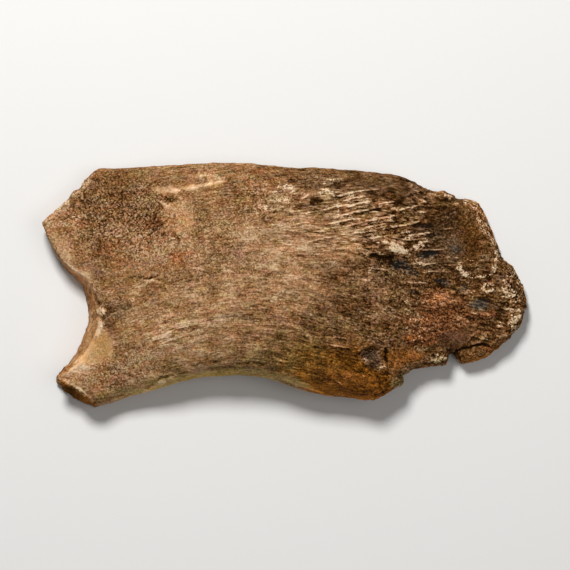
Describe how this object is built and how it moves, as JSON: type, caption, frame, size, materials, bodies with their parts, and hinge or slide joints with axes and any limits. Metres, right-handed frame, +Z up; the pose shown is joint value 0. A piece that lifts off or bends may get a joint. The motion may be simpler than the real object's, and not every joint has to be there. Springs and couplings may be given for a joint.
{
  "type": "fossil dinosaur rib",
  "caption": "Broken upper end of a fossil rib: a flat, curved blade of bone with two prongs round a scooped notch and a thin, flaking, ragged end. It lies on its flatter face.",
  "frame": {"origin": "on the surface that the bone rests on, below the middle of its bounding box", "axes": "+X from the forked end to the ragged end, +Y to the straighter natural margin, +Z up out of the domed face"},
  "size_m": [0.1396, 0.0702, 0.0196],
  "materials": {
    "fossil_bone": "matt mineralised bone, tan to dark umber, with fine fibres, pores, rust stains and pale chips"
  },
  "bodies": {
    "root": {"rib": "fossil_bone"}
  },
  "joints": []
}
